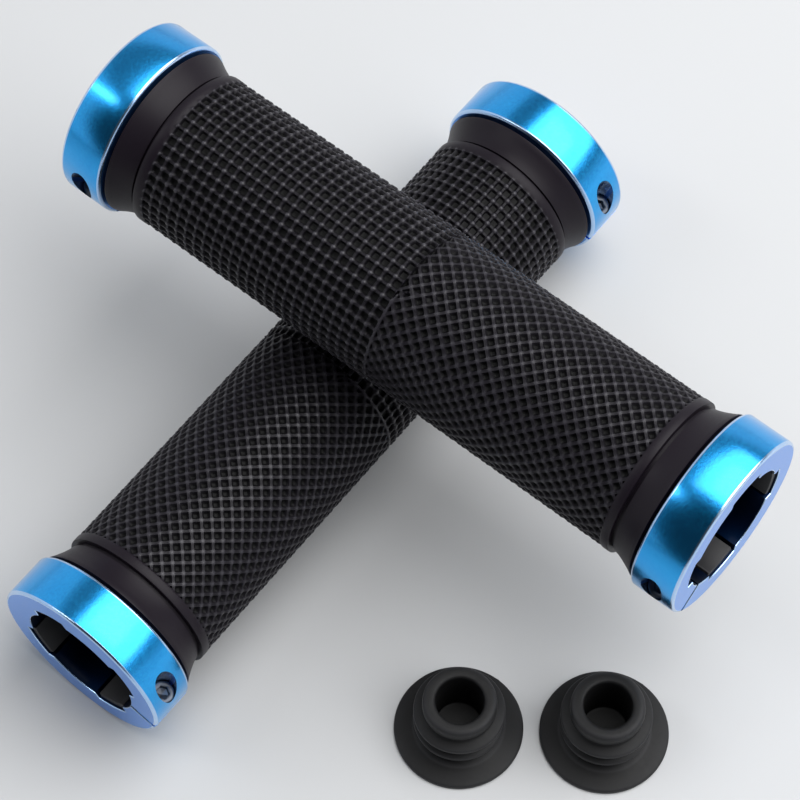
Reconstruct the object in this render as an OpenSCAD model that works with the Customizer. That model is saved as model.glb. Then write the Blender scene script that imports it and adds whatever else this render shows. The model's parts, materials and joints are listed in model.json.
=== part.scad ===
// A pair of lock-on handlebar grips, one laid across the other, with their two bar end plugs.
// Each grip is a moulded core, a rubber sleeve over it, and a split clamp ring with a pinch screw at each end.
// Both grips are drawn along +X with the bar's axis at the origin, then laid in place by the modules at the end.

/* [Grip] */
// Length of one grip over both rings
grip_len = 130.5; // [110:0.5:150]
// Diameter of the bore that the handlebar goes through
bore_d = 22.4; // [22.3:0.05:22.7]
// Outer diameter of the core under the rubber
core_d = 24.8; // [24.4:0.1:25.4]
// Outer diameter over the tread
tread_d = 29.4; // [28:0.1:32]

/* [Sleeve ends] */
// Diameter of the rubber where it meets a ring
flare_d = 32.4; // [31:0.1:32.8]
// Diameter at the foot of the flare
flare_foot_d = 28.3; // [27:0.1:28.6]
// Length of the smooth flare beside each ring
flare_len = 4.6; // [3:0.1:8]
// Width of the groove between the flare and the rim
groove_w = 0.7; // [0.4:0.1:1.4]
// Depth of that groove
groove_depth = 0.5; // [0.2:0.1:0.7]
// Width of the plain rim where the tread begins
rim_w = 1.4; // [1:0.1:3]
// How far the plain rim stands above the tread
rim_rise = 0.1; // [0:0.05:0.4]
// Gap between the rubber and the face of a ring
sleeve_gap = 0.6; // [0.2:0.1:1]

/* [Rings] */
// Outer diameter of a clamp ring
ring_d = 33.5; // [33:0.1:36]
// Width of a clamp ring along the bar
ring_w = 8.6; // [8:0.1:12]
// Chamfer on the outer edges of a ring
ring_chamfer = 0.5; // [0.3:0.1:1]
// Chamfer on the edges of a ring's bore
bore_chamfer = 0.3; // [0.1:0.1:0.5]
// Width of the slit that the pinch screw closes
slit_w = 0.9; // [0.6:0.1:1.4]

/* [Core tabs] */
// How many tabs stand out of each end of the core
tab_count = 4; // [3:1:5]
// Angle that one tab spans
tab_angle = 34; // [24:1:36]
// Angle from the slit to the first tab's centre
tab_offset = 45; // [42:1:48]
// How far the tabs end short of the ring's outer face
tab_recess = 0.5; // [0.3:0.1:2]
// Clearance between a tab and its notch, on every side
tab_clearance = 0.06; // [0.04:0.01:0.1]

/* [Pinch screws] */
// Distance from the bar's axis to the axis of a pinch screw
screw_radius = 14; // [13.9:0.05:14.1]
// Diameter of the screw's thread
screw_d = 3; // [2.5:0.1:3]
// Diameter of the screw's head
head_d = 4.1; // [3.6:0.1:4.2]
// Height of the screw's head
head_h = 2.4; // [2:0.1:2.6]
// Width across the flats of the hexagon socket
hex_af = 2; // [1.5:0.1:2.5]
// Depth of the hexagon socket
hex_depth = 1.4; // [1:0.1:1.6]
// Distance from the middle of the slit to the underside of the head
head_seat = 2.3; // [2:0.1:2.6]
// Length of the screw under its head
screw_len = 8; // [7:0.5:9]
// Radial clearance around the thread and around the head
screw_clearance = 0.06; // [0.03:0.01:0.09]

/* [End plugs] */
// Diameter of a plug's flange
plug_flange_d = 22.4; // [21:0.1:26]
// Diameter over the ribs that grip inside the bar
plug_rib_d = 15.8; // [15:0.1:17]
// Diameter between the ribs
plug_neck_d = 12; // [11:0.1:13]
// Diameter of the rounded lip that enters first
plug_lip_d = 12.8; // [12:0.1:14]
// Diameter of the hollow
plug_hollow_d = 8.2; // [6:0.1:9]
// Height of a plug
plug_h = 13; // [12:0.5:14]
// Thickness of the plug's flange at its edge
plug_edge_h = 1.1; // [0.8:0.1:1.6]
// Thickness of the floor under the hollow
plug_floor_h = 2; // [1.5:0.1:3]
// Flat width along the crest of one rib
plug_crest_w = 0.8; // [0.6:0.1:1]

/* [Layout] */
// Distance of the lower grip's axis behind the origin
lower_y = 16; // [12:0.5:20]
// Distance of the upper grip's axis to the right of the origin
upper_x = 10.8; // [0:0.1:20]
// Distance of the upper grip's middle behind the origin
upper_y = 3.6; // [0:0.1:8]
// Gap between the two sleeves where they cross
cross_gap = 0.1; // [0.1:0.1:0.5]
// Turn of the lower grip about its own axis, to its slits, from straight up
lower_roll = 105; // [90:1:150]
// Turn of the upper grip about its own axis, to its slits, from straight up
upper_roll = 127; // [90:1:150]
// Place of the first plug along X
plug_a_x = -29.5; // [-45:0.5:-28]
// Place of the first plug along Y
plug_a_y = -37.5; // [-45:0.5:-30]
// Place of the second plug along X
plug_b_x = -14.5; // [-20:0.5:-14.5]

/* [Hidden] */
$fn = 96;
rubber_black = [0.16, 0.15, 0.17];
core_black = [0.08, 0.08, 0.09];
anodised_blue = [0.05, 0.5, 0.85];
steel_grey = [0.72, 0.73, 0.75];
plug_grey = [0.14, 0.14, 0.15];
bond_gap = 0.02;                                // between the core and the rubber bonded to it
seat_gap = 0.05;                                // between a ring and the core's shoulder
core_len = grip_len - 2 * (ring_w + seat_gap);  // the plain tube between the rings
sleeve_len = grip_len - 2 * (ring_w + sleeve_gap);
tab_len = ring_w + seat_gap - tab_recess;
notch_r = core_d / 2 + tab_clearance;
notch_angle = tab_angle + 2;
pitch_angle = 360 / tab_count;
ring_mid = (grip_len - ring_w) / 2;             // middle of a ring, from the middle of the grip
head_bore_len = ring_d;                         // long enough to leave the ring
thread_bore_len = screw_len + 1;                // blind, one millimetre past the screw's end
lower_z = ring_d / 2;
upper_z = lower_z + tread_d + 2 * rim_rise + cross_gap;
plug_b_y = plug_flange_d / 2 - grip_len / 2 - upper_y;   // keeps the origin in the middle of the whole
rib_levels = [5.2, 8.4];                        // heights of the two ribs' crests
cone_top_z = 2.9;                               // where the flange's cone meets the neck
lip_h = 2.6;                                    // height of the rounded lip
slack = 1;                                      // how far a cutter runs past what it cuts

// A tube along X, centred on the origin.
module tube(outer_d, inner_d, length) {
    rotate([0, 90, 0])
        difference() {
            cylinder(d = outer_d, h = length, center = true);
            cylinder(d = inner_d, h = length + 2 * slack, center = true);
        }
}

// A sector of a tube that starts at x = 0 and runs along +X, centred on the angle given from +Z.
module tube_sector(outer_r, inner_r, length, sweep, at_angle) {
    rotate([at_angle, 0, 0])
        rotate([0, 90, 0])
            rotate([0, 0, 180 - sweep / 2])
                rotate_extrude(angle = sweep)
                    translate([inner_r, 0])
                        square([outer_r - inner_r, length]);
}

// Such sectors all round, one for each tab, with the first one centred on the angle given.
module sector_ring(outer_r, inner_r, length, sweep, first_angle) {
    for (i = [0 : tab_count - 1])
        tube_sector(outer_r, inner_r, length, sweep, first_angle + i * pitch_angle);
}

// The moulded core: a tube whose ends are cut away to leave tabs that key into the rings.
module core() {
    difference() {
        tube(core_d, bore_d, core_len + 2 * tab_len);
        for (side = [0, 1])
            mirror([side, 0, 0])
                translate([core_len / 2, 0, 0])
                    sector_ring(
                        core_d / 2 + slack,
                        bore_d / 2 - slack,
                        tab_len + slack,
                        pitch_angle - tab_angle,
                        tab_offset + pitch_angle / 2
                    );
    }
}

// Half of the sleeve's outline, from the middle of the grip out to the ring.
function sleeve_outline() =
    let (end = sleeve_len / 2,
         foot = end - flare_len,
         rim_out = foot - groove_w,
         rim_in = rim_out - rim_w,
         tread_r = tread_d / 2,
         rim_r = tread_r + rim_rise,
         foot_r = flare_foot_d / 2,
         lead = 0.4)
    [
        [tread_r, rim_in - lead],
        [rim_r, rim_in],
        [rim_r, rim_out],
        [foot_r - groove_depth, rim_out],
        [foot_r - groove_depth, foot],
        [foot_r, foot],
        [flare_d / 2 - lead / 2, end - lead],
        [flare_d / 2 - lead, end]
    ];

// The rubber sleeve, open at both ends over the core.
module sleeve() {
    inner_r = core_d / 2 + bond_gap;
    half = sleeve_outline();
    last = len(half) - 1;
    low_half = [for (i = [last : -1 : 0]) [half[i][0], -half[i][1]]];
    rotate([0, 90, 0])
        rotate_extrude()
            polygon(concat(
                [[inner_r, sleeve_len / 2], [inner_r, -sleeve_len / 2]],
                low_half,
                half
            ));
}

// A ring's cross-section, turned about the bar's axis.
module ring_blank() {
    inner_r = bore_d / 2;
    outer_r = ring_d / 2;
    half_w = ring_w / 2;
    rotate([0, 90, 0])
        rotate_extrude()
            polygon([
                [inner_r, -half_w + bore_chamfer],
                [inner_r + bore_chamfer, -half_w],
                [outer_r - ring_chamfer, -half_w],
                [outer_r, -half_w + ring_chamfer],
                [outer_r, half_w - ring_chamfer],
                [outer_r - ring_chamfer, half_w],
                [inner_r + bore_chamfer, half_w],
                [inner_r, half_w - bore_chamfer]
            ]);
}

// Holes for the pinch screw: a deep seat for its head on the +Y side of the slit, a blind thread on the other.
module screw_holes() {
    translate([0, 0, screw_radius])
        rotate([-90, 0, 0]) {
            translate([0, 0, head_seat])
                cylinder(d = head_d + 2 * screw_clearance, h = head_bore_len);
            translate([0, 0, head_seat - thread_bore_len])
                cylinder(d = screw_d + 2 * screw_clearance, h = thread_bore_len + slack);
        }
}

// A split clamp ring with its slit straight up.
module ring() {
    difference() {
        ring_blank();
        translate([-ring_w / 2 - slack, -slit_w / 2, 0])
            cube([ring_w + 2 * slack, slit_w, ring_d]);
        translate([-ring_w / 2 - slack, 0, 0])
            sector_ring(notch_r, bore_d / 2 - slack, ring_w + 2 * slack, notch_angle, tab_offset);
        screw_holes();
    }
}

// A pinch screw where its ring holds it, with its head to the +Y side.
module pinch_screw() {
    edge = 0.25;                                // bevel on the head and on the screw's end
    translate([0, 0, screw_radius])
        rotate([-90, 0, 0])
            difference() {
                rotate_extrude()
                    polygon([
                        [0, head_seat - screw_len],
                        [screw_d / 2 - edge, head_seat - screw_len],
                        [screw_d / 2, head_seat - screw_len + edge],
                        [screw_d / 2, head_seat],
                        [head_d / 2, head_seat],
                        [head_d / 2, head_seat + head_h - edge],
                        [head_d / 2 - edge, head_seat + head_h],
                        [0, head_seat + head_h]
                    ]);
                translate([0, 0, head_seat + head_h - hex_depth])
                    cylinder(d = hex_af / cos(30), h = hex_depth + slack, $fn = 6);
            }
}

// An end plug that stands on its flange, with its hollow end up.
module end_plug() {
    flange_r = plug_flange_d / 2;
    neck_r = plug_neck_d / 2;
    rib_r = plug_rib_d / 2;
    lip_r = plug_lip_d / 2;
    hollow_r = plug_hollow_d / 2;
    edge = 0.4;                                 // bevel on the flange and on the lip
    flank = 0.8;                                // height of the sloping side of a rib
    ribs = [for (z = rib_levels, p = [
        [neck_r, -plug_crest_w / 2 - flank],
        [rib_r, -plug_crest_w / 2],
        [rib_r, plug_crest_w / 2],
        [neck_r, plug_crest_w / 2 + flank]
    ]) [p[0], z + p[1]]];
    rotate_extrude()
        polygon(concat(
            [
                [0, 0],
                [flange_r - edge, 0],
                [flange_r, edge],
                [flange_r, plug_edge_h],
                [neck_r, cone_top_z]
            ],
            ribs,
            [
                [neck_r, plug_h - lip_h],
                [lip_r, plug_h - lip_h + edge],
                [lip_r, plug_h - edge],
                [lip_r - edge, plug_h],
                [hollow_r, plug_h],
                [hollow_r, plug_floor_h],
                [0, plug_floor_h]
            ]
        ));
}

// Places a piece of the lower grip, with the ends turned towards -X being its outer ends.
module on_lower() {
    translate([0, lower_y, lower_z]) rotate([lower_roll, 0, 0]) children();
}

// Places a piece of the upper grip, which is the mirror image of the lower and lies across it.
module on_upper() {
    translate([upper_x, upper_y, upper_z])
        rotate([0, 0, 90])
            mirror([0, 1, 0])
                rotate([upper_roll, 0, 0])
                    children();
}

module at_outer_end() {
    translate([-ring_mid, 0, 0]) children();
}

module at_inner_end() {
    translate([ring_mid, 0, 0]) children();
}

module right_core() { color(core_black) on_lower() core(); }
module right_sleeve() { color(rubber_black) on_lower() sleeve(); }
module right_outer_ring() { color(anodised_blue) on_lower() at_outer_end() ring(); }
module right_inner_ring() { color(anodised_blue) on_lower() at_inner_end() ring(); }
module right_outer_screw() { color(steel_grey) on_lower() at_outer_end() pinch_screw(); }
module right_inner_screw() { color(steel_grey) on_lower() at_inner_end() pinch_screw(); }
module left_core() { color(core_black) on_upper() core(); }
module left_sleeve() { color(rubber_black) on_upper() sleeve(); }
module left_outer_ring() { color(anodised_blue) on_upper() at_outer_end() ring(); }
module left_inner_ring() { color(anodised_blue) on_upper() at_inner_end() ring(); }
module left_outer_screw() { color(steel_grey) on_upper() at_outer_end() pinch_screw(); }
module left_inner_screw() { color(steel_grey) on_upper() at_inner_end() pinch_screw(); }
module right_end_plug() { color(plug_grey) translate([plug_a_x, plug_a_y, 0]) end_plug(); }
module left_end_plug() { color(plug_grey) translate([plug_b_x, plug_b_y, 0]) end_plug(); }

right_core();
right_sleeve();
right_outer_ring();
right_inner_ring();
right_outer_screw();
right_inner_screw();
left_core();
left_sleeve();
left_outer_ring();
left_inner_ring();
left_outer_screw();
left_inner_screw();
right_end_plug();
left_end_plug();
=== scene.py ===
# Two lock-on handlebar grips, one laid across the other, with their two bar end plugs standing in front.
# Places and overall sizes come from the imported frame; the fine shapes and finishes are made here.
import json
import math

import bmesh
import bpy
import numpy as np
from mathutils import Matrix, Vector


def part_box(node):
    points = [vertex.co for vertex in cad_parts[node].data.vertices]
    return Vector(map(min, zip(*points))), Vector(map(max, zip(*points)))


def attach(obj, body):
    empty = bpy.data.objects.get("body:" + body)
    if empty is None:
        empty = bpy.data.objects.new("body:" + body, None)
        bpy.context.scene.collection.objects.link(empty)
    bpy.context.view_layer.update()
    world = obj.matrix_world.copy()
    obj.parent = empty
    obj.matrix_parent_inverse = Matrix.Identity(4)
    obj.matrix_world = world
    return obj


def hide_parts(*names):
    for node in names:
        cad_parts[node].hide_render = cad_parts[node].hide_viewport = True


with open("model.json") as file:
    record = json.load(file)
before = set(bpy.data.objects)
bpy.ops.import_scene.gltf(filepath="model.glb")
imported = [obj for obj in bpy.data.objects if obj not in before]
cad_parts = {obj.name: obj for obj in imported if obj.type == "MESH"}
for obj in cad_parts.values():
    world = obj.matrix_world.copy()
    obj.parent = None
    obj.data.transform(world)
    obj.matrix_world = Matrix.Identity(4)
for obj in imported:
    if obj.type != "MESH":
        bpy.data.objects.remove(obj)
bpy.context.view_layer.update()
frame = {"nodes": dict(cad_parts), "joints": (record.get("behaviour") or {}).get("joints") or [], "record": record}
mm = 0.001
print("frame loaded:", len(frame["nodes"]), "nodes")


def jointOf(body):
    return next(joint for joint in frame["joints"] if joint["child"] == body)


def gripPlace(side, turned):
    # from a grip drawn along X, outer end towards -X and its top up, to where it lies
    low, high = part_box(side + "_sleeve")
    middle = (low + high) / 2
    place = Matrix.Translation(middle)
    if turned:
        place = place @ Matrix.Rotation(math.radians(90), 4, "Z") @ Matrix.Scale(-1, 4, (0, 1, 0))
    return place


def slitAngle(side, place):
    # the pinch screw's joint stands in the middle of the slit
    screw = place.inverted() @ Vector(jointOf(side + "_outer_pinch_screw")["pos_m"])
    return math.atan2(-screw.y, screw.z)


def ringMiddle(side):
    low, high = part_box(side + "_outer_ring")
    far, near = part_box(side + "_inner_ring")
    axis = lengthAxis[side]
    return ((far + near)[axis] - (low + high)[axis]) / 4


lengthAxis = {"right": 0, "left": 1}        # the world axis along which each grip lies
places = {"right": gripPlace("right", False), "left": gripPlace("left", True)}
slits = {side: slitAngle(side, place) for side, place in places.items()}


def rimPoint(x, angle, radius):
    return (x, -radius * math.sin(angle), radius * math.cos(angle))


def softCorners(corners, steps=4):
    # an outline whose corners are rounded by a curve that starts and ends at the corner's own distance
    outline = []
    for before, corner, after in zip([corners[-1]] + corners[:-1], corners, corners[1:] + corners[:1]):
        point = Vector(corner[:2])
        reach = corner[2] if len(corner) > 2 else 0
        if not reach:
            outline.append(tuple(point))
            continue
        start = point + (Vector(before[:2]) - point).normalized() * reach
        end = point + (Vector(after[:2]) - point).normalized() * reach
        for step in range(steps + 1):
            t = step / steps
            outline.append(tuple(start * (1 - t) ** 2 + point * 2 * t * (1 - t) + end * t ** 2))
    return outline


def gridFaces(rows, columns, closed, diagonalAt=None):
    # rows of points round a closed loop of columns; a cell may be split along a chosen diagonal
    faces = []
    for row in range(rows if closed else rows - 1):
        here = row * columns
        there = (row + 1) % rows * columns
        for column in range(columns):
            beside = (column + 1) % columns
            a, b = here + column, here + beside
            c, d = there + beside, there + column
            split = diagonalAt(row, column) if diagonalAt else None
            if split == "rising":
                faces += [(a, b, c), (a, c, d)]
            elif split == "falling":
                faces += [(a, b, d), (b, c, d)]
            else:
                faces.append((a, b, c, d))
    return faces


def endCaps(rows, columns):
    # the faces that close both ends of such a grid
    last = (rows - 1) * columns
    return [tuple(range(columns)), tuple(range(last + columns - 1, last - 1, -1))]


def addObject(name, data):
    made = bpy.data.objects.new(name, data)
    bpy.context.scene.collection.objects.link(made)
    return made


def makePiece(name, points, faces, place, sharpAngle, marks=None):
    # marks are named numbers for each point, which the materials read
    mesh = bpy.data.meshes.new(name)
    mesh.from_pydata([tuple(point) for point in points], [], faces)
    for mark, values in (marks or {}).items():
        mesh.attributes.new(mark, "FLOAT", "POINT").data.foreach_set("value", np.asarray(values, np.float32))
    piece = addObject(name, mesh)
    finishMesh(mesh, place, sharpAngle)
    return piece


def finishMesh(mesh, place, sharpAngle):
    mesh.transform(place)
    work = bmesh.new()
    work.from_mesh(mesh)
    loose = [vert for vert in work.verts if not vert.link_faces]
    bmesh.ops.delete(work, geom=loose, context="VERTS")
    bmesh.ops.remove_doubles(work, verts=work.verts, dist=0.002 * mm)
    bmesh.ops.recalc_face_normals(work, faces=work.faces)
    work.to_mesh(mesh)
    work.free()
    for polygon in mesh.polygons:
        polygon.use_smooth = True
    mesh.set_sharp_from_angle(angle=math.radians(sharpAngle))
    mesh.update()


def turnedPoints(outline, columns, lift=None):
    # an outline of (along, radius) swept round the X axis, with an optional change of radius at each point
    points = []
    for row, (along, radius) in enumerate(outline):
        for column in range(columns):
            angle = 2 * math.pi * column / columns
            extra = lift(row, angle, along, radius) if lift else 0
            points.append(rimPoint(along, angle, radius + extra))
    return points


class Wire:
    # wraps one socket, so that shader maths reads as an expression
    def __init__(self, finish, socket):
        self.finish = finish
        self.socket = socket

    def maths(self, operation, first, second):
        return self.finish.node("Math", {"operation": operation}, {0: first, 1: second})

    def __add__(self, other):
        return self.maths("ADD", self, other)

    def __radd__(self, other):
        return self.maths("ADD", other, self)

    def __sub__(self, other):
        return self.maths("SUBTRACT", self, other)

    def __rsub__(self, other):
        return self.maths("SUBTRACT", other, self)

    def __mul__(self, other):
        return self.maths("MULTIPLY", self, other)

    def __rmul__(self, other):
        return self.maths("MULTIPLY", other, self)


class Wiring:
    # a node tree and the one method that adds any node to it
    def __init__(self, owner):
        owner.use_nodes = True
        self.tree = owner.node_tree

    def node(self, kind, settings, sockets, out=0):
        made = self.tree.nodes.new("ShaderNode" + kind)
        for key, value in settings.items():
            setattr(made, key, value)
        for key, value in sockets.items():
            self.join(value, made.inputs[key])
        return Wire(self, made.outputs[out])

    def join(self, value, socket):
        if isinstance(value, Wire):
            self.tree.links.new(value.socket, socket)
        else:
            socket.default_value = value


class Finish(Wiring):
    # one material with the patterns that the finishes share
    def __init__(self, name, constants):
        self.material = bpy.data.materials.new(name)
        super().__init__(self.material)
        self.shader = self.tree.nodes["Principled BSDF"]
        for socket, value in constants.items():
            self.shader.inputs[socket].default_value = value

    def feed(self, socket, value):
        self.join(value, self.shader.inputs[socket])

    def place(self):
        return self.node("TexCoord", {}, {}, out="Object")

    def noise(self, place, scale, detail=3.0, roughness=0.5):
        sockets = {"Vector": place, "Scale": scale, "Detail": detail, "Roughness": roughness}
        return self.node("TexNoise", {}, sockets, out="Fac")

    def mark(self, name):
        return self.node("Attribute", {"attribute_name": name}, {}, out="Fac")

    def blend(self, amount, first, second):
        return self.node("Mix", {"data_type": "RGBA"}, {0: amount, 6: first, 7: second}, out=2)

    def bump(self, height, distance, strength):
        return self.node("Bump", {}, {"Height": height, "Distance": distance, "Strength": strength})


def shade(hexCode):
    # an sRGB colour such as 3a3b3d as linear values
    values = [int(hexCode[i:i + 2], 16) / 255 for i in (0, 2, 4)]
    return tuple(v / 12.92 if v < 0.04045 else ((v + 0.055) / 1.055) ** 2.4 for v in values) + (1,)


def rubberFinish():
    # near-black rubber: dry and a little worn on the crests, satin on the smooth ends, with painted shade in the
    # pockets and a painted highlight on the crossings of the ribs
    look = {
        # painted shade: the pocket floors are near black
        "painted_pocket_shade": shade("020202"),
        "rib": shade("1a181d"),
        # painted highlight colour for the peaks
        "peak_highlight_colour": shade("36343a"),
        "smooth": shade("19141b"),
        "dryness": 0.58,
        "polish": 0.2,              # how much smoother the ribs are rubbed
        "gloss": 0.9,               # on the peaks, where hands have rubbed them
        "satin": 0.42,
        "clouds": 90,
        "grain": 2600,
        "grainHeight": 0.05,
    }
    constants = {"IOR": 1.4, "Specular IOR Level": 0.24, "Coat Roughness": 0.22}
    finish = Finish("grip_rubber", constants)
    place = finish.place()
    crest = finish.mark("crest")
    tread = finish.mark("tread")
    clouds = finish.noise(place, look["clouds"], 4.0)
    grain = finish.noise(place, look["grain"], 2.0)
    # painted highlight on the rib crossings and the moulding line, patchy with the clouds
    painted_peak_highlight = (crest - 0.5) * 2.0 * (0.6 + clouds * 0.8)
    # painted shade darkens the pocket floors, where the crest mark is below one half
    ribsWithPocketShade = finish.blend(crest * 2.0, look["painted_pocket_shade"], look["rib"])
    treadColour = finish.blend(painted_peak_highlight, ribsWithPocketShade, look["peak_highlight_colour"])
    finish.feed("Base Color", finish.blend(tread, look["smooth"], treadColour))
    dry = look["satin"] + tread * (look["dryness"] - look["satin"])
    finish.feed("Roughness", dry - tread * crest * look["polish"] + (grain - 0.5) * 0.12)
    finish.feed("Coat Weight", tread * (crest - 0.55) * look["gloss"])
    finish.feed("Normal", finish.bump(grain * (0.4 + tread * 0.6), look["grainHeight"] * mm, 0.35))
    return finish.material


def coreFinish():
    # moulded hard plastic with a fine spark-eroded texture
    look = {
        "dark": shade("121215"),
        "pale": shade("1c1c20"),
        "roughness": 0.42,
        "clouds": 120,
        "grain": 1800,
        "grainHeight": 0.03,
    }
    finish = Finish("core_plastic", {"IOR": 1.46})
    place = finish.place()
    grain = finish.noise(place, look["grain"])
    clouds = finish.noise(place, look["clouds"])
    finish.feed("Base Color", finish.blend(clouds, look["dark"], look["pale"]))
    finish.feed("Roughness", look["roughness"] + grain * 0.14)
    finish.feed("Normal", finish.bump(grain, look["grainHeight"] * mm, 0.3))
    return finish.material


def ringFinish():
    # satin aluminium under a clear blue anodised layer, with a fine blasted grain; a painted reflection lightens
    # the end faces, a painted highlight the rounded edges, and painted shade darkens the bore
    look = {
        "deep": shade("1399e6"),
        "bright": shade("26aef6"),
        # painted reflection of the pale floor on the end faces
        "face": shade("5c9af4"),
        # painted highlight along the rounded edges
        "edge": shade("c4dcfa"),
        # painted shade in the bore
        "bore": shade("04142c"),
        "roughness": 0.18,
        "coat": 0.45,
        "clouds": 140,
        "grain": 1900,
        "grainHeight": 0.02,
    }
    constants = {"Metallic": 1.0, "Coat Roughness": 0.16, "Coat IOR": 1.6}
    finish = Finish("ring_anodised", constants)
    place = finish.place()
    grain = finish.noise(place, look["grain"], 2.0, 0.6)
    clouds = finish.noise(place, look["clouds"])
    outside = finish.blend(clouds * 0.7 + (grain - 0.5) * 1.3 + 0.15, look["deep"], look["bright"])
    # painted reflection lightens the end faces
    faced = finish.blend(finish.mark("face") * 0.8, outside, look["face"])
    # painted highlight along the rounded edges, patchy with the clouds
    edged = finish.blend(finish.mark("edge") * (0.5 + clouds * 0.6), faced, look["edge"])
    # painted shade darkens the bore, which is also rougher and keeps little of its coat
    bore = finish.mark("bore")
    finish.feed("Base Color", finish.blend(bore, edged, look["bore"]))
    finish.feed("Roughness", look["roughness"] + grain * 0.1 + finish.mark("face") * 0.12 + bore * 0.25)
    finish.feed("Coat Weight", look["coat"] * (1 - bore * 0.9))
    finish.feed("Normal", finish.bump(grain, look["grainHeight"] * mm, 0.6))
    return finish.material


def screwFinish():
    # plated steel, slightly dulled in patches and finely scratched
    look = {
        "dull": shade("3c4047"),
        "bright": shade("5d626b"),
        "roughness": 0.28,
        "clouds": 700,
        "scratches": 5200,
        "scratchDepth": 0.006,
    }
    finish = Finish("screw_steel", {"Metallic": 1.0})
    place = finish.place()
    clouds = finish.noise(place, look["clouds"])
    scratches = finish.noise(place, look["scratches"], 2.0)
    finish.feed("Base Color", finish.blend(clouds, look["dull"], look["bright"]))
    finish.feed("Roughness", look["roughness"] + clouds * 0.2)
    finish.feed("Normal", finish.bump(scratches, look["scratchDepth"] * mm, 0.4))
    return finish.material


def plugFinish():
    # soft matt plastic, greyer along its edges, with painted shade darkest in its hollow
    look = {
        "dark": shade("0b0b0c"),
        "pale": shade("131314"),
        "edge": shade("2e2e30"),
        # painted shade in the hollow
        "hollow": shade("020202"),
        "roughness": 0.46,
        "clouds": 160,
        "grain": 1500,
        "grainHeight": 0.04,
    }
    finish = Finish("plug_plastic", {"IOR": 1.48, "Specular IOR Level": 0.3})
    place = finish.place()
    grain = finish.noise(place, look["grain"], 4.0, 0.6)
    clouds = finish.noise(place, look["clouds"], 4.0)
    edge = finish.mark("edge")
    body = finish.blend(clouds, look["dark"], look["pale"])
    outside = finish.blend(edge * (0.4 + clouds * 0.6), body, look["edge"])
    # painted shade darkens the hollow
    finish.feed("Base Color", finish.blend(finish.mark("bore"), outside, look["hollow"]))
    finish.feed("Roughness", look["roughness"] + grain * 0.18)
    finish.feed("Normal", finish.bump(grain, look["grainHeight"] * mm, 0.3))
    return finish.material


finishes = {
    "sleeve": rubberFinish(),
    "core": coreFinish(),
    "ring": ringFinish(),
    "screw": screwFinish(),
    "plug": plugFinish(),
}
print("materials ready:", len(finishes))


def settle(piece, node, slot):
    # the piece stands for its node, moves with its body and takes the slot's finish
    body = next(name for name, members in frame["record"]["behaviour"]["bodies"].items() if node in members)
    piece.data.materials.append(finishes[slot])
    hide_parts(node)
    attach(piece, body)


# Rubber sleeves, each one grid of points round the grip, in millimetres until it is placed.
sleeveShape = {
    "smoothBelow": 50,              # degrees between faces that are shaded as one surface
    "columns": 288,
    "treadRadius": 14.7,            # over the crests of the ribs
    "treadEnd": 48.95,              # from the middle of the grip
    "pocketDepth": 0.8,
    "crossingRise": 0.08,           # the crests stand a little higher where they cross
    "crossingFade": 0.35,           # by which that fades one point away
    "ribSag": 0.1,                  # and a little lower between
    "squareCells": 25,              # along the inner half
    "squareSpots": [0.10, 0.22, 0.40, 0.60, 0.78, 0.90],
    "squareHeights": [1, 0.12, 0, 0, 0.12, 1],
    "diamondPoints": 8,             # points across one diamond, both ways
    "diamondRows": 154,
    "diamondHeights": [1, 1, 0.16, 0.03, 0],
    "seamHalf": 0.13,               # half the width of the raised moulding line between the halves
    # how far the moulding line is raised as a crossing, which also gives it the rubber's painted highlight
    "seamCrest": 0.7,
    "seamTurn": 30,                 # degrees from the top where that line turns off towards the outer end
    "seamBend": 3.6,                # radius of its turn
    "seamTail": 2.0,                # over which it fades
    "seamBack": -150,               # degrees beyond which it fades underneath
    "seamBackFade": 30,             # degrees
    "rimRadius": 14.8,
    "rimRise": [0.15, 0.4],         # where the rim starts and is at its height, past the tread
    "rimRounding": 0.15,
    "grooveWidth": 0.7,
    "grooveRadius": 13.65,
    "grooveSlant": 0.06,
    "footRadius": 14.15,
    "flareFoot": 51.45,
    "flareBow": 1.35,               # above 1 the flare is hollow
    "flareSteps": 5,
    "lipRise": 0.06,
    "lipRounding": 0.3,
    "mouthRounding": 0.2,
    "boreRadius": 12.42,
    "boreDepth": 2,                 # that is drawn at each end
}


def away(count, period):
    # steps from the nearest multiple of the period
    return min(count % period, -count % period)


def seamHeight(x, degrees):
    # 1 on the moulding line, 0 away from it
    s = sleeveShape
    across = math.radians(degrees - s["seamTurn"]) * s["treadRadius"]
    fade = 1
    if degrees < s["seamBack"]:
        distance = abs(x)
        fade = (s["seamBack"] - degrees) / s["seamBackFade"]
    elif degrees >= s["seamTurn"]:
        distance = abs(x)
    elif x < -s["seamBend"]:
        distance = abs(across + s["seamBend"])
        fade = 1 + (x + s["seamBend"]) / s["seamTail"]
    else:
        distance = abs(math.hypot(x + s["seamBend"], across) - s["seamBend"])
    return max(0, min(1, 1.6 - distance / s["seamHalf"] / 2)) * max(0, fade)


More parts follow.
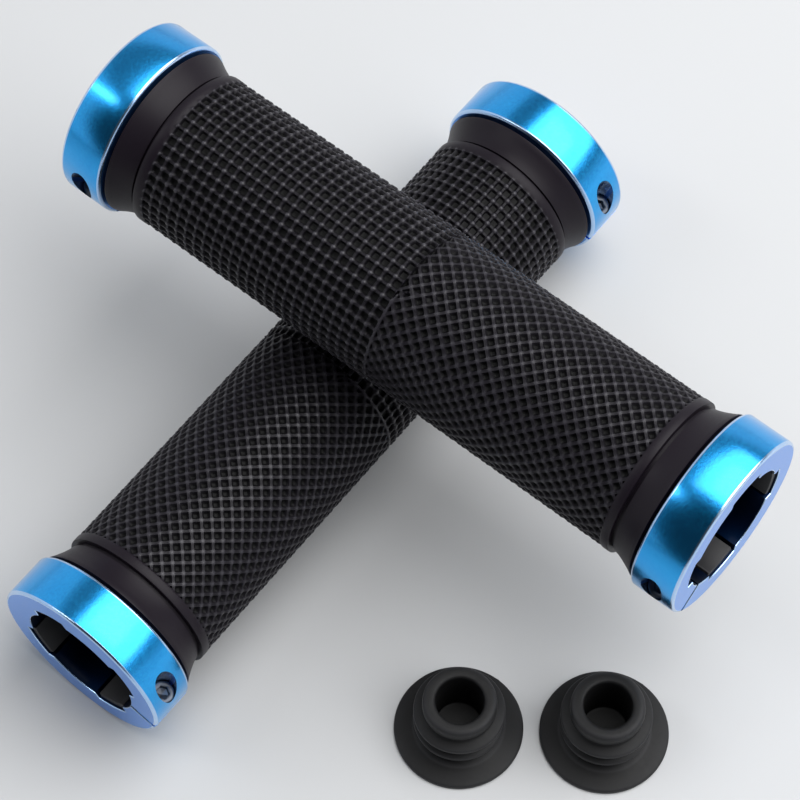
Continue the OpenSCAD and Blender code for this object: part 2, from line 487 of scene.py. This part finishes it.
def treadRows():
    # rows of (place along the grip, angles, radii, crest marks), from the outer end to the inner
    s = sleeveShape
    count = s["columns"]
    even = [2 * math.pi * i / count for i in range(count)]
    degrees = [(math.degrees(a) + 180) % 360 - 180 for a in even]
    spots = len(s["squareSpots"])
    cells = count // spots
    bunched = [2 * math.pi * (i // spots + s["squareSpots"][i % spots]) / cells for i in range(count)]
    rows = []

    def addRow(x, angles, heights, crossings):
        radii = [
            s["treadRadius"] - s["pocketDepth"] * (1 - height)
            + s["crossingRise"] * crossing - s["ribSag"] * height * (1 - crossing)
            for height, crossing in zip(heights, crossings)
        ]
        # the crest mark: near 0 on the pocket floors, which the rubber paints in shade, 0.5 on the ribs and up to
        # 1 on the crossings and the moulding line, which it paints with a highlight
        marks = [0.5 * height + 0.5 * crossing for height, crossing in zip(heights, crossings)]
        rows.append((x, angles, radii, marks))

    for j in range(s["diamondRows"], 0, -1):
        x = -s["treadEnd"] * j / s["diamondRows"]
        heights = []
        crossings = []
        for i in range(count):
            first = away(i + j, s["diamondPoints"])
            second = away(i - j, s["diamondPoints"])
            height = max(s["diamondHeights"][first], s["diamondHeights"][second])
            heights.append(max(height, seamHeight(x, degrees[i])))
            crossings.append(1 - s["crossingFade"] * max(first, second) if max(first, second) <= 1 else 0)
        addRow(x, even, heights, crossings)
    for x in (-s["seamHalf"], s["seamHalf"]):
        pattern = [s["diamondHeights"][away(i, s["diamondPoints"])] for i in range(count)]
        seam = [seamHeight(x, angle) for angle in degrees]
        heights = [max(height, line) for height, line in zip(pattern, seam)]
        addRow(x, even if x < 0 else bunched, heights, [s["seamCrest"] * line for line in seam])
    for cell in range(s["squareCells"]):
        for spot, along in zip(s["squareSpots"], s["squareHeights"]):
            x = s["treadEnd"] * (cell + spot) / s["squareCells"]
            across = [s["squareHeights"][i % spots] for i in range(count)]
            heights = [max(along, height) for height in across]
            crossings = [1 if along == 1 and height == 1 else 0 for height in across]
            if x > s["seamHalf"]:
                addRow(x, bunched, heights, crossings)
    return rows, even, bunched


def sleeveEnd(half, flareRadius):
    # the plain rim, the groove and the smooth flare, from the tread out to the bore
    s = sleeveShape
    foot = s["flareFoot"]
    rimEnd = foot - s["grooveWidth"]
    spread = flareRadius - s["footRadius"]
    bow = []
    for step in range(1, s["flareSteps"]):
        t = step / s["flareSteps"]
        bow.append((foot + (half - foot) * t, s["footRadius"] + spread * t ** s["flareBow"]))
    corners = [
        (s["treadEnd"] + s["rimRise"][0], s["treadRadius"]),
        (s["treadEnd"] + s["rimRise"][1], s["rimRadius"]),
        (rimEnd, s["rimRadius"], s["rimRounding"]),
        (rimEnd + s["grooveSlant"], s["grooveRadius"]),
        (foot - s["grooveSlant"], s["grooveRadius"]),
        (foot, s["footRadius"]),
        *bow,
        (half, flareRadius + s["lipRise"], s["lipRounding"]),
        (half, s["boreRadius"], s["mouthRounding"]),
        (half - s["boreDepth"], s["boreRadius"]),
    ]
    return softCorners(corners, 2)


def makeSleeve(side):
    s = sleeveShape
    low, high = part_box(side + "_sleeve")
    half = (high - low)[lengthAxis[side]] / 2 / mm
    flareRadius = (high.z - low.z) / 2 / mm
    tread, even, bunched = treadRows()
    end = sleeveEnd(half, flareRadius)
    count = s["columns"]
    rows = [(-x, even, [radius] * count, None) for x, radius in reversed(end)]
    first = len(rows)
    rows += tread
    rows += [(x, bunched, [radius] * count, None) for x, radius in end]
    points = []
    crest = []
    treadMark = []
    for x, angles, radii, marks in rows:
        points += [rimPoint(x * mm, angle, radius * mm) for angle, radius in zip(angles, radii)]
        crest += marks or [0.5] * count
        treadMark += [1 if marks else 0] * count

    def diagonalAt(row, i):
        j = s["diamondRows"] - (row - first)
        if not 1 < j <= s["diamondRows"]:
            return None
        period = s["diamondPoints"]
        return "rising" if away(i + j, period) < away(i - j + 1, period) else "falling"

    faces = gridFaces(len(rows), count, True, diagonalAt)
    marks = {"crest": crest, "tread": treadMark}
    piece = makePiece(side + "_sleeve_tread", points, faces, places[side], s["smoothBelow"], marks)
    settle(piece, side + "_sleeve", "sleeve")
    print(piece.name, "has", len(piece.data.polygons), "faces")


for side in places:
    makeSleeve(side)


# Cores: a thin moulded tube whose ends are cut away to leave tabs that key into the rings.
coreShape = {
    "smoothBelow": 40,
    "outerRadius": 12.4,
    "boreRadius": 11.2,
    "tabCount": 4,
    "tabAngle": 34,                 # degrees that one tab spans
    "tabOffset": 45,                # from the slit to the first tab's middle
    "tabSteps": 14,
    "gapSteps": 22,
    "shoulderGap": 0.05,            # between the core's shoulder and a ring
    "edgeRounding": 0.18,
}


def roundEdges(work, edges, width, segments):
    bmesh.ops.bevel(work, geom=edges, offset=width, offset_type="OFFSET", segments=segments,
                    profile=0.5, affect="EDGES", clamp_overlap=False)


def sharpEdges(work):
    # those whose two faces turn by more than 50 degrees
    limit = math.radians(50)
    return [edge for edge in work.edges if edge.is_manifold and edge.calc_face_angle() > limit]


def makeCore(side):
    s = coreShape
    low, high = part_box(side + "_core")
    axis = lengthAxis[side]
    tabEnd = (high - low)[axis] / 2
    ringLow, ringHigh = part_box(side + "_inner_ring")
    shoulder = ringLow[axis] - (low + high)[axis] / 2 - s["shoulderGap"] * mm
    pitch = 2 * math.pi / s["tabCount"]
    tab = math.radians(s["tabAngle"])
    start = math.radians(s["tabOffset"]) - tab / 2
    work = bmesh.new()
    columns = []
    for i in range(s["tabCount"]):
        for steps, begin, span, isTab in (
            (s["tabSteps"], start, tab, True),
            (s["gapSteps"], start + tab, pitch - tab, False),
        ):
            for step in range(steps):
                angle = begin + i * pitch + span * step / steps
                spots = (-tabEnd, -shoulder, shoulder, tabEnd)
                outer = [work.verts.new(rimPoint(x, angle, s["outerRadius"] * mm)) for x in spots]
                inner = [work.verts.new(rimPoint(x, angle, s["boreRadius"] * mm)) for x in spots]
                columns.append((outer, inner, isTab))
    for k, (outer, inner, isTab) in enumerate(columns):
        nextOuter, nextInner = columns[(k + 1) % len(columns)][:2]
        reach = (0, 1, 2) if isTab else (1,)
        for x in reach:
            work.faces.new((outer[x], nextOuter[x], nextOuter[x + 1], outer[x + 1]))
            work.faces.new((inner[x], inner[x + 1], nextInner[x + 1], nextInner[x]))
        for x in (0, 3) if isTab else (1, 2):
            work.faces.new((outer[x], inner[x], nextInner[x], nextOuter[x]))
        if isTab != columns[k - 1][2]:
            for x in (0, 2):
                work.faces.new((outer[x], outer[x + 1], inner[x + 1], inner[x]))
    bmesh.ops.delete(work, geom=[vert for vert in work.verts if not vert.link_faces], context="VERTS")
    bmesh.ops.recalc_face_normals(work, faces=work.faces)
    roundEdges(work, sharpEdges(work), s["edgeRounding"] * mm, 2)
    mesh = bpy.data.meshes.new(side + "_core_tube")
    work.to_mesh(mesh)
    work.free()
    piece = addObject(mesh.name, mesh)
    finishMesh(mesh, places[side] @ Matrix.Rotation(slits[side], 4, "X"), s["smoothBelow"])
    settle(piece, side + "_core", "core")


for side in places:
    makeCore(side)
print("cores made")


# Clamp rings: an open C with notches for the core's tabs, rounded edges, and the pinch screw's holes.
ringShape = {
    "smoothBelow": 40,
    "boreRadius": 11.2,
    "notchRadius": 12.46,
    "notchAngle": 35,               # degrees
    "notchLean": 2.6,               # degrees by which its sides open out towards the bore
    "slit": 0.9,
    "step": 2.0,                    # degrees between columns
    "rimRounding": 0.5,
    "edgeRounding": 0.16,
    "bandRadius": 14.6,             # of the loop of points between the notches and the outside
    "screwRadius": 14.0,            # from the bar's axis to the screw's
    "headSeat": 2.3,                # from the slit's middle to the underside of the head
    "headHole": 2.11,               # radius
    "threadHole": 1.56,             # radius
    "threadDepth": 9.0,
    "cutReach": 20.0,               # by which the head's cutter runs out of the ring
    "cutOverlap": 1.0,
    "cutColumns": 64,
    "faceFlatness": 0.98,           # how far along the bar a face looks to count as an end face
    "edgeFlatness": 0.25,           # and as a rounded edge
    # how far past the notches the bore's painted shade reaches
    "boreMargin": 0.4,
}


def ringAngles():
    # every column's angle from the slit, the angle of its point on the bore, and whether it opens a notch
    s = ringShape
    clear = s["step"] * 1.5
    pitch = 360 / coreShape["tabCount"]
    first = coreShape["tabOffset"] - s["notchAngle"] / 2
    starts = [first + pitch * i for i in range(coreShape["tabCount"])]
    stops = [0] + [edge for start in starts for edge in (start, start + s["notchAngle"])] + [360]
    angles = []
    for begin, end in zip(stops, stops[1:]):
        notched = begin in starts
        lean = 0 if begin == 0 else s["notchLean"] * (-1 if notched else 1)
        angles.append((begin, begin + lean, notched))
        gap = 0 if notched else clear
        count = round((end - begin) / s["step"])
        between = [begin + (end - begin) * i / count for i in range(1, count)]
        angles += [(angle, angle, notched) for angle in between if begin + gap < angle < end - gap]
    return angles + [(360, 360, False)]


def acrossBar(edge):
    return abs(edge.verts[0].co.x - edge.verts[1].co.x) < 0.01


def ringBlank(size):
    # the C before its screw's holes are cut, in millimetres round the X axis, with the slit at the top
    s = ringShape
    work = bmesh.new()
    levels = [s["boreRadius"], s["notchRadius"], s["bandRadius"], size["outer"]]
    columns = []
    angles = ringAngles()
    for k, (degrees, onBore, notched) in enumerate(angles):
        column = []
        for radius in levels:
            angle = math.radians(onBore if radius == s["boreRadius"] else degrees)
            if k in (0, len(angles) - 1):
                angle += math.asin(s["slit"] / 2 / radius) * (1 if k == 0 else -1)
            spots = (-size["half"], size["half"])
            column.append([work.verts.new(rimPoint(x, angle, radius)) for x in spots])
        columns.append((column, notched))
    last = len(levels) - 1
    for k in range(len(columns) - 1):
        here, notched = columns[k]
        there = columns[k + 1][0]
        inside = 1 if notched else 0
        work.faces.new((here[last][0], there[last][0], there[last][1], here[last][1]))
        work.faces.new((here[inside][0], here[inside][1], there[inside][1], there[inside][0]))
        for level in range(inside, last):
            for x in (0, 1):
                work.faces.new((here[level][x], here[level + 1][x], there[level + 1][x], there[level][x]))
        if k and notched != columns[k - 1][1]:
            work.faces.new((here[0][0], here[0][1], here[1][1], here[1][0]))
    for column, notched in (columns[0], columns[-1]):
        for level in range(last):
            work.faces.new((column[level][0], column[level + 1][0], column[level + 1][1], column[level][1]))
    bmesh.ops.delete(work, geom=[vert for vert in work.verts if not vert.link_faces], context="VERTS")
    bmesh.ops.recalc_face_normals(work, faces=work.faces)
    limit = size["outer"] - 0.01
    rim = [
        edge for edge in work.edges
        if acrossBar(edge) and all(math.hypot(vert.co.y, vert.co.z) > limit for vert in edge.verts)
    ]
    roundEdges(work, rim, s["rimRounding"], 3)
    mouths = [edge for edge in sharpEdges(work) if acrossBar(edge)]
    roundEdges(work, mouths, s["edgeRounding"], 2)
    return work


def cutter(radius, start, end):
    # a round bar along +Y, where the pinch screw's hole runs
    count = ringShape["cutColumns"]
    points = turnedPoints([(start, radius), (end, radius)], count)
    mesh = bpy.data.meshes.new("cutter")
    mesh.from_pydata(points, [], gridFaces(2, count, False) + endCaps(2, count))
    rise = Matrix.Translation((0, 0, ringShape["screwRadius"]))
    mesh.transform(rise @ Matrix.Rotation(math.radians(90), 4, "Z"))
    work = bmesh.new()
    work.from_mesh(mesh)
    bmesh.ops.recalc_face_normals(work, faces=work.faces)
    work.to_mesh(mesh)
    work.free()
    return addObject("cutter", mesh)


def markRing(mesh):
    # the end faces, the rounded edges and the bore each get a mark for the finish, which paints a reflection on
    # the faces, a highlight on the edges and shade in the bore
    s = ringShape
    boreLimit = s["notchRadius"] + s["boreMargin"]
    marks = {"face": [], "edge": [], "bore": []}
    for polygon in mesh.polygons:
        flatness = abs(polygon.normal.x)
        radius = math.hypot(polygon.center.y, polygon.center.z)
        marks["face"].append(1 if flatness > s["faceFlatness"] else 0)
        marks["edge"].append(1 if s["edgeFlatness"] < flatness <= s["faceFlatness"] else 0)
        marks["bore"].append(1 if flatness <= s["edgeFlatness"] and radius < boreLimit else 0)
    for mark, values in marks.items():
        mesh.attributes.new(mark, "FLOAT", "FACE").data.foreach_set("value", values)


def ringMesh(size):
    s = ringShape
    mesh = bpy.data.meshes.new("ring")
    work = ringBlank(size)
    work.to_mesh(mesh)
    work.free()
    blank = addObject("blank", mesh)
    bars = [
        cutter(s["headHole"], s["headSeat"], s["headSeat"] + s["cutReach"]),
        cutter(s["threadHole"], s["headSeat"] - s["threadDepth"], s["headSeat"] + s["cutOverlap"]),
    ]
    for bar in bars:
        cut = blank.modifiers.new("hole", "BOOLEAN")
        cut.operation = "DIFFERENCE"
        cut.solver = "EXACT"
        cut.object = bar
    graph = bpy.context.evaluated_depsgraph_get()
    drilled = bpy.data.meshes.new_from_object(blank.evaluated_get(graph))
    markRing(drilled)
    for spare in bars + [blank]:
        bpy.data.objects.remove(spare)
    return drilled


def makeRing(side, end, drilled):
    node = side + "_" + end + "_ring"
    mesh = drilled.copy()
    mesh.name = node
    piece = addObject(node + "_machined", mesh)
    along = ringMiddle(side) * (-1 if end == "outer" else 1)
    turn = Matrix.Rotation(slits[side], 4, "X")
    place = places[side] @ Matrix.Translation((along, 0, 0)) @ turn @ Matrix.Scale(mm, 4)
    finishMesh(mesh, place, ringShape["smoothBelow"])
    for polygon, face in zip(mesh.polygons, mesh.attributes["face"].data):
        polygon.use_smooth = face.value < 0.5       # the end faces stay flat
    mesh.materials.clear()
    settle(piece, node, "ring")


ringLow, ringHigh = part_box("right_outer_ring")
ringSize = {
    "half": (ringHigh.x - ringLow.x) / 2 / mm,
    "outer": (ringHigh.y - ringLow.y) / 2 / mm,
}
drilledRing = ringMesh(ringSize)
for side in places:
    for end in ("outer", "inner"):
        makeRing(side, end, drilledRing)
print("rings made")


# Pinch screws: a round head with a hexagon socket on a threaded shank.
screwShape = {
    "smoothBelow": 35,
    "columns": 48,
    "shankRadius": 1.5,
    "tipRadius": 1.1,
    "tipLength": 0.4,
    "threadPitch": 0.5,
    "threadDepth": 0.26,
    "threadRows": 8,                # along one pitch
    "plainLength": 0.9,             # of the shank, at both its ends together
    "headRadius": 2.05,
    "headHeight": 2.4,
    "length": 8.0,                  # under the head
    "undercut": 0.1,
    "socketFlats": 2.0,
    "socketDepth": 1.4,
    "socketCone": 0.35,             # depth of its pointed bottom
    "socketBreak": [0.12, 0.1],     # how wide and how deep its edge is broken
    "rounding": 0.35,
    "centre": 0.02,                 # radius of the small hole where the rows of points close
}


def screwOutline():
    # rows of (along, radius) from the tip to the socket's bottom, and which of them are shank and socket
    s = screwShape
    seat = ringShape["headSeat"]
    tip = seat - s["length"]
    top = seat + s["headHeight"]
    flat = s["socketFlats"] / 2
    mouth = flat / math.cos(math.radians(30))
    breakWidth, breakDepth = s["socketBreak"]
    bottom = top - s["socketDepth"]
    step = s["threadPitch"] / s["threadRows"]
    turns = int((s["length"] - s["plainLength"]) / s["threadPitch"] * s["threadRows"])
    shank = [(tip + s["tipLength"] + i * step, s["shankRadius"]) for i in range(turns + 1)]
    head = softCorners([
        (seat, s["shankRadius"] - s["undercut"]),
        (seat, s["headRadius"], s["undercut"]),
        (top, s["headRadius"], s["rounding"]),
        (top, mouth + breakWidth),
    ], 3)
    socket = [(top - breakDepth, flat), (bottom, flat), (bottom - s["socketCone"], s["centre"])]
    outline = [(tip, s["centre"]), (tip, s["tipRadius"])] + shank + head + socket
    return outline, range(2, 2 + len(shank)), range(len(outline) - 3, len(outline) - 1)


def makeScrew(side, end):
    s = screwShape
    flat = s["socketFlats"] / 2
    outline, shankRows, socketRows = screwOutline()

    def lift(row, angle, along, radius):
        if row in shankRows:
            phase = (along / s["threadPitch"] + angle / 2 / math.pi) % 1
            return -s["threadDepth"] * abs(2 * phase - 1)
        if row in socketRows:
            fromFlat = (angle + math.pi / 6) % (math.pi / 3) - math.pi / 6      # of the hexagon
            return flat / math.cos(fromFlat) - radius
        return 0

    node = side + "_" + end + "_screw"
    points = turnedPoints(outline, s["columns"], lift)
    rows = len(outline)
    faces = gridFaces(rows, s["columns"], False) + endCaps(rows, s["columns"])
    along = ringMiddle(side) / mm * (-1 if end == "outer" else 1)
    place = places[side] @ Matrix.Scale(mm, 4) @ Matrix.Translation((along, 0, 0))
    place = place @ Matrix.Rotation(slits[side], 4, "X")
    place = place @ Matrix.Translation((0, 0, ringShape["screwRadius"]))
    place = place @ Matrix.Rotation(math.radians(90), 4, "Z")
    piece = makePiece(node + "_threaded", points, faces, place, s["smoothBelow"])
    settle(piece, node, "screw")


for side in places:
    for end in ("outer", "inner"):
        makeScrew(side, end)
print("screws made")


# End plugs: a thin flange, two ribs that grip inside the bar, and a thick rounded lip round the hollow.
plugShape = {
    "smoothBelow": 50,
    "columns": 128,
    "flangeEdge": 0.95,             # its thickness at the rim
    "flangeFlat": 1.2,              # the width of its underside beside the rim
    "flangeRounding": [0.35, 0.4],
    "shoulder": [1.75, 0.75],       # its height, and its radius as a share of the flange's
    "shoulderRounding": 0.9,
    "root": [2.75, 0.5],            # its height, and how far it stands out from the neck
    "rootRounding": 0.7,
    "neckRadius": 6.0,
    "ribRadius": 7.9,
    "ribHeights": [5.2, 8.4],
    "ribFoot": 1.15,                # half the rib's height where it meets the neck
    "ribCrest": 0.42,               # and at its outside
    "ribRounding": [0.4, 0.38],
    "ribRise": 0.05,
    "lipRadius": 6.4,
    "lipHeight": 2.6,
    "lipSlant": 0.4,
    "lipRounding": [0.3, 1.1],
    "hollowRadius": 4.1,
    "hollowRounding": [0.7, 0.5],
    "floorHeight": 2.0,
    "hollowShade": 8.0,             # the height below which the hollow is at its darkest
    "wearReach": 0.6,               # how far the greyer wear spreads from an edge
    "wearHeights": [2, 10],         # where the flange's edge gives way to the ribs', and that to the lip's
    "partingRise": 0.05,            # the moulding's parting line
    "centre": 0.02,                 # radius of the small hole where the rows of points close
}


def plugOutline(radius, height):
    # rows of (along, radius) from the middle of the flange's underside round to the hollow's floor
    s = plugShape
    neck = s["neckRadius"]
    foot = neck + s["ribRise"]
    ribs = []
    for level in s["ribHeights"]:
        ribs += [
            (level - s["ribFoot"], foot, s["ribRounding"][0]),
            (level - s["ribCrest"], s["ribRadius"], s["ribRounding"][1]),
            (level + s["ribCrest"], s["ribRadius"], s["ribRounding"][1]),
            (level + s["ribFoot"], foot, s["ribRounding"][0]),
        ]
    lipFoot = height - s["lipHeight"]
    return softCorners([
        (0, s["centre"]),
        (0, radius - s["flangeFlat"]),
        (0, radius, s["flangeRounding"][0]),
        (s["flangeEdge"], radius, s["flangeRounding"][1]),
        (s["shoulder"][0], radius * s["shoulder"][1], s["shoulderRounding"]),
        (s["root"][0], neck + s["root"][1], s["rootRounding"]),
        *ribs,
        (lipFoot, neck, s["lipRounding"][0]),
        (lipFoot + s["lipSlant"], s["lipRadius"], s["lipRounding"][0]),
        (height, s["lipRadius"], s["lipRounding"][1]),
        (height, s["hollowRadius"], s["hollowRounding"][0]),
        (s["floorHeight"], s["hollowRadius"], s["hollowRounding"][1]),
        (s["floorHeight"], s["centre"]),
    ], 5)


def makePlug(side):
    s = plugShape
    node = side + "_end_plug"
    low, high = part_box(node)
    radius = (high.x - low.x) / 2 / mm
    outline = plugOutline(radius, (high.z - low.z) / mm)

    def lift(row, angle, along, radius):
        near = max(0, 1 - abs(math.sin(angle)) * 30)
        return s["partingRise"] * near if radius > s["hollowRadius"] + 1 and along > 0.3 else 0

    points = turnedPoints(outline, s["columns"], lift)
    flangeTop, ribTop = s["wearHeights"]
    edge = []
    for along, reach in outline:
        worn = radius if along < flangeTop else s["ribRadius"] if along < ribTop else s["lipRadius"] - 0.4
        edge += [max(0, 1 - abs(reach - worn) / s["wearReach"])] * s["columns"]
    # painted shade on the hollow's walls and floor below hollowShade
    inside = [
        1 if reach < s["hollowRadius"] + 0.01 and 0 < along < s["hollowShade"] else 0
        for along, reach in outline
        for column in range(s["columns"])
    ]
    middle = (low + high) / 2
    place = Matrix.Translation((middle.x, middle.y, low.z)) @ Matrix.Scale(mm, 4)
    place = place @ Matrix.Rotation(math.radians(-90), 4, "Y")
    rows = len(outline)
    faces = gridFaces(rows, s["columns"], False) + endCaps(rows, s["columns"])
    marks = {"edge": edge, "bore": inside}
    piece = makePiece(node + "_moulded", points, faces, place, s["smoothBelow"], marks)
    settle(piece, node, "plug")


for side in places:
    makePlug(side)
print("plugs made")


# A pale floor, which isn't part of the object.
stageLook = {
    "size": 4.0,
    "floor": shade("c6c7c8"),
    "walls": (0.92, 0.95, 1.0, 1),
    "wallLight": 0.8,
    "darkCorner": (-0.82, -0.22, 0.53),     # where the room has no wall to throw light back
    "cornerCosines": (0.66, 0.82),          # of the angles from it where the dark begins and is full
    "cornerDepth": 0.94,
    "ceiling": (0.33, -0.25, 0.91),         # the middle of the dark ceiling that the softboxes hang under
    "ceilingCosines": (0.45, 0.63),
    "ceilingDepth": 0.68,
}


def makeFloor():
    half = stageLook["size"] / 2
    corners = [(-half, -half, 0), (half, -half, 0), (half, half, 0), (-half, half, 0)]
    mesh = bpy.data.meshes.new("floor")
    mesh.from_pydata(corners, [], [(0, 1, 2, 3)])
    floor = addObject("floor", mesh)
    finish = Finish("floor_card", {"Roughness": 0.7, "Base Color": stageLook["floor"]})
    mesh.materials.append(finish.material)


def makeWorld():
    s = stageLook
    world = bpy.data.worlds.new("studio")
    room = Wiring(world)
    way = room.node("TexCoord", {}, {}, out="Generated")

    def shadeRound(middle, cosines):
        near = room.node("VectorMath", {"operation": "DOT_PRODUCT"}, {0: way, 1: middle}, out="Value")
        sockets = {"Value": near, "From Min": cosines[0], "From Max": cosines[1]}
        return room.node("MapRange", {"interpolation_type": "SMOOTHSTEP"}, sockets)

    corner = shadeRound(s["darkCorner"], s["cornerCosines"])
    ceiling = shadeRound(s["ceiling"], s["ceilingCosines"])
    light = (1 - corner * s["cornerDepth"]) * (1 - ceiling * s["ceilingDepth"])
    back = room.tree.nodes["Background"]
    back.inputs["Color"].default_value = s["walls"]
    room.join(light * s["wallLight"], back.inputs["Strength"])
    bpy.context.scene.world = world


# Softboxes: where each hangs, facing straight down, its two sides in metres, and how bright its face is.
softboxes = {
    "overhead": {"spot": (0.70, -0.70, 1.0), "sides": (1.74, 1.95), "bright": 2.8},
    "key": {"spot": (0.34, -0.32, 0.98), "sides": (0.70, 0.80), "bright": 1.6},
    "strip": {"spot": (-0.47, 0.76, 1.0), "sides": (0.2, 0.7), "bright": 4.2},
}


def makeLights():
    for name, box in softboxes.items():
        light = bpy.data.lights.new(name, "AREA")
        light.shape = "RECTANGLE"
        light.size, light.size_y = box["sides"]
        light.energy = box["bright"] * math.pi * box["sides"][0] * box["sides"][1]
        addObject(name, light).location = box["spot"]


cameraPlace = {
    "spot": (-0.18651, -0.14980, 0.49412),
    "target": (0.007413, 0.004904, 0.01675),
    "lens": 137.18,
    "sensor": 36.0,
}


def makeCamera():
    lens = bpy.data.cameras.new("camera")
    lens.lens = cameraPlace["lens"]
    lens.sensor_width = cameraPlace["sensor"]
    lens.clip_start = 0.01
    camera = addObject("camera", lens)
    camera.location = cameraPlace["spot"]
    aim = Vector(cameraPlace["target"]) - Vector(cameraPlace["spot"])
    camera.rotation_euler = aim.to_track_quat("-Z", "Y").to_euler()
    bpy.context.scene.camera = camera


makeFloor()
makeWorld()
makeLights()
makeCamera()
bpy.context.scene.view_settings.view_transform = "Standard"
print("stage, lights and camera ready")
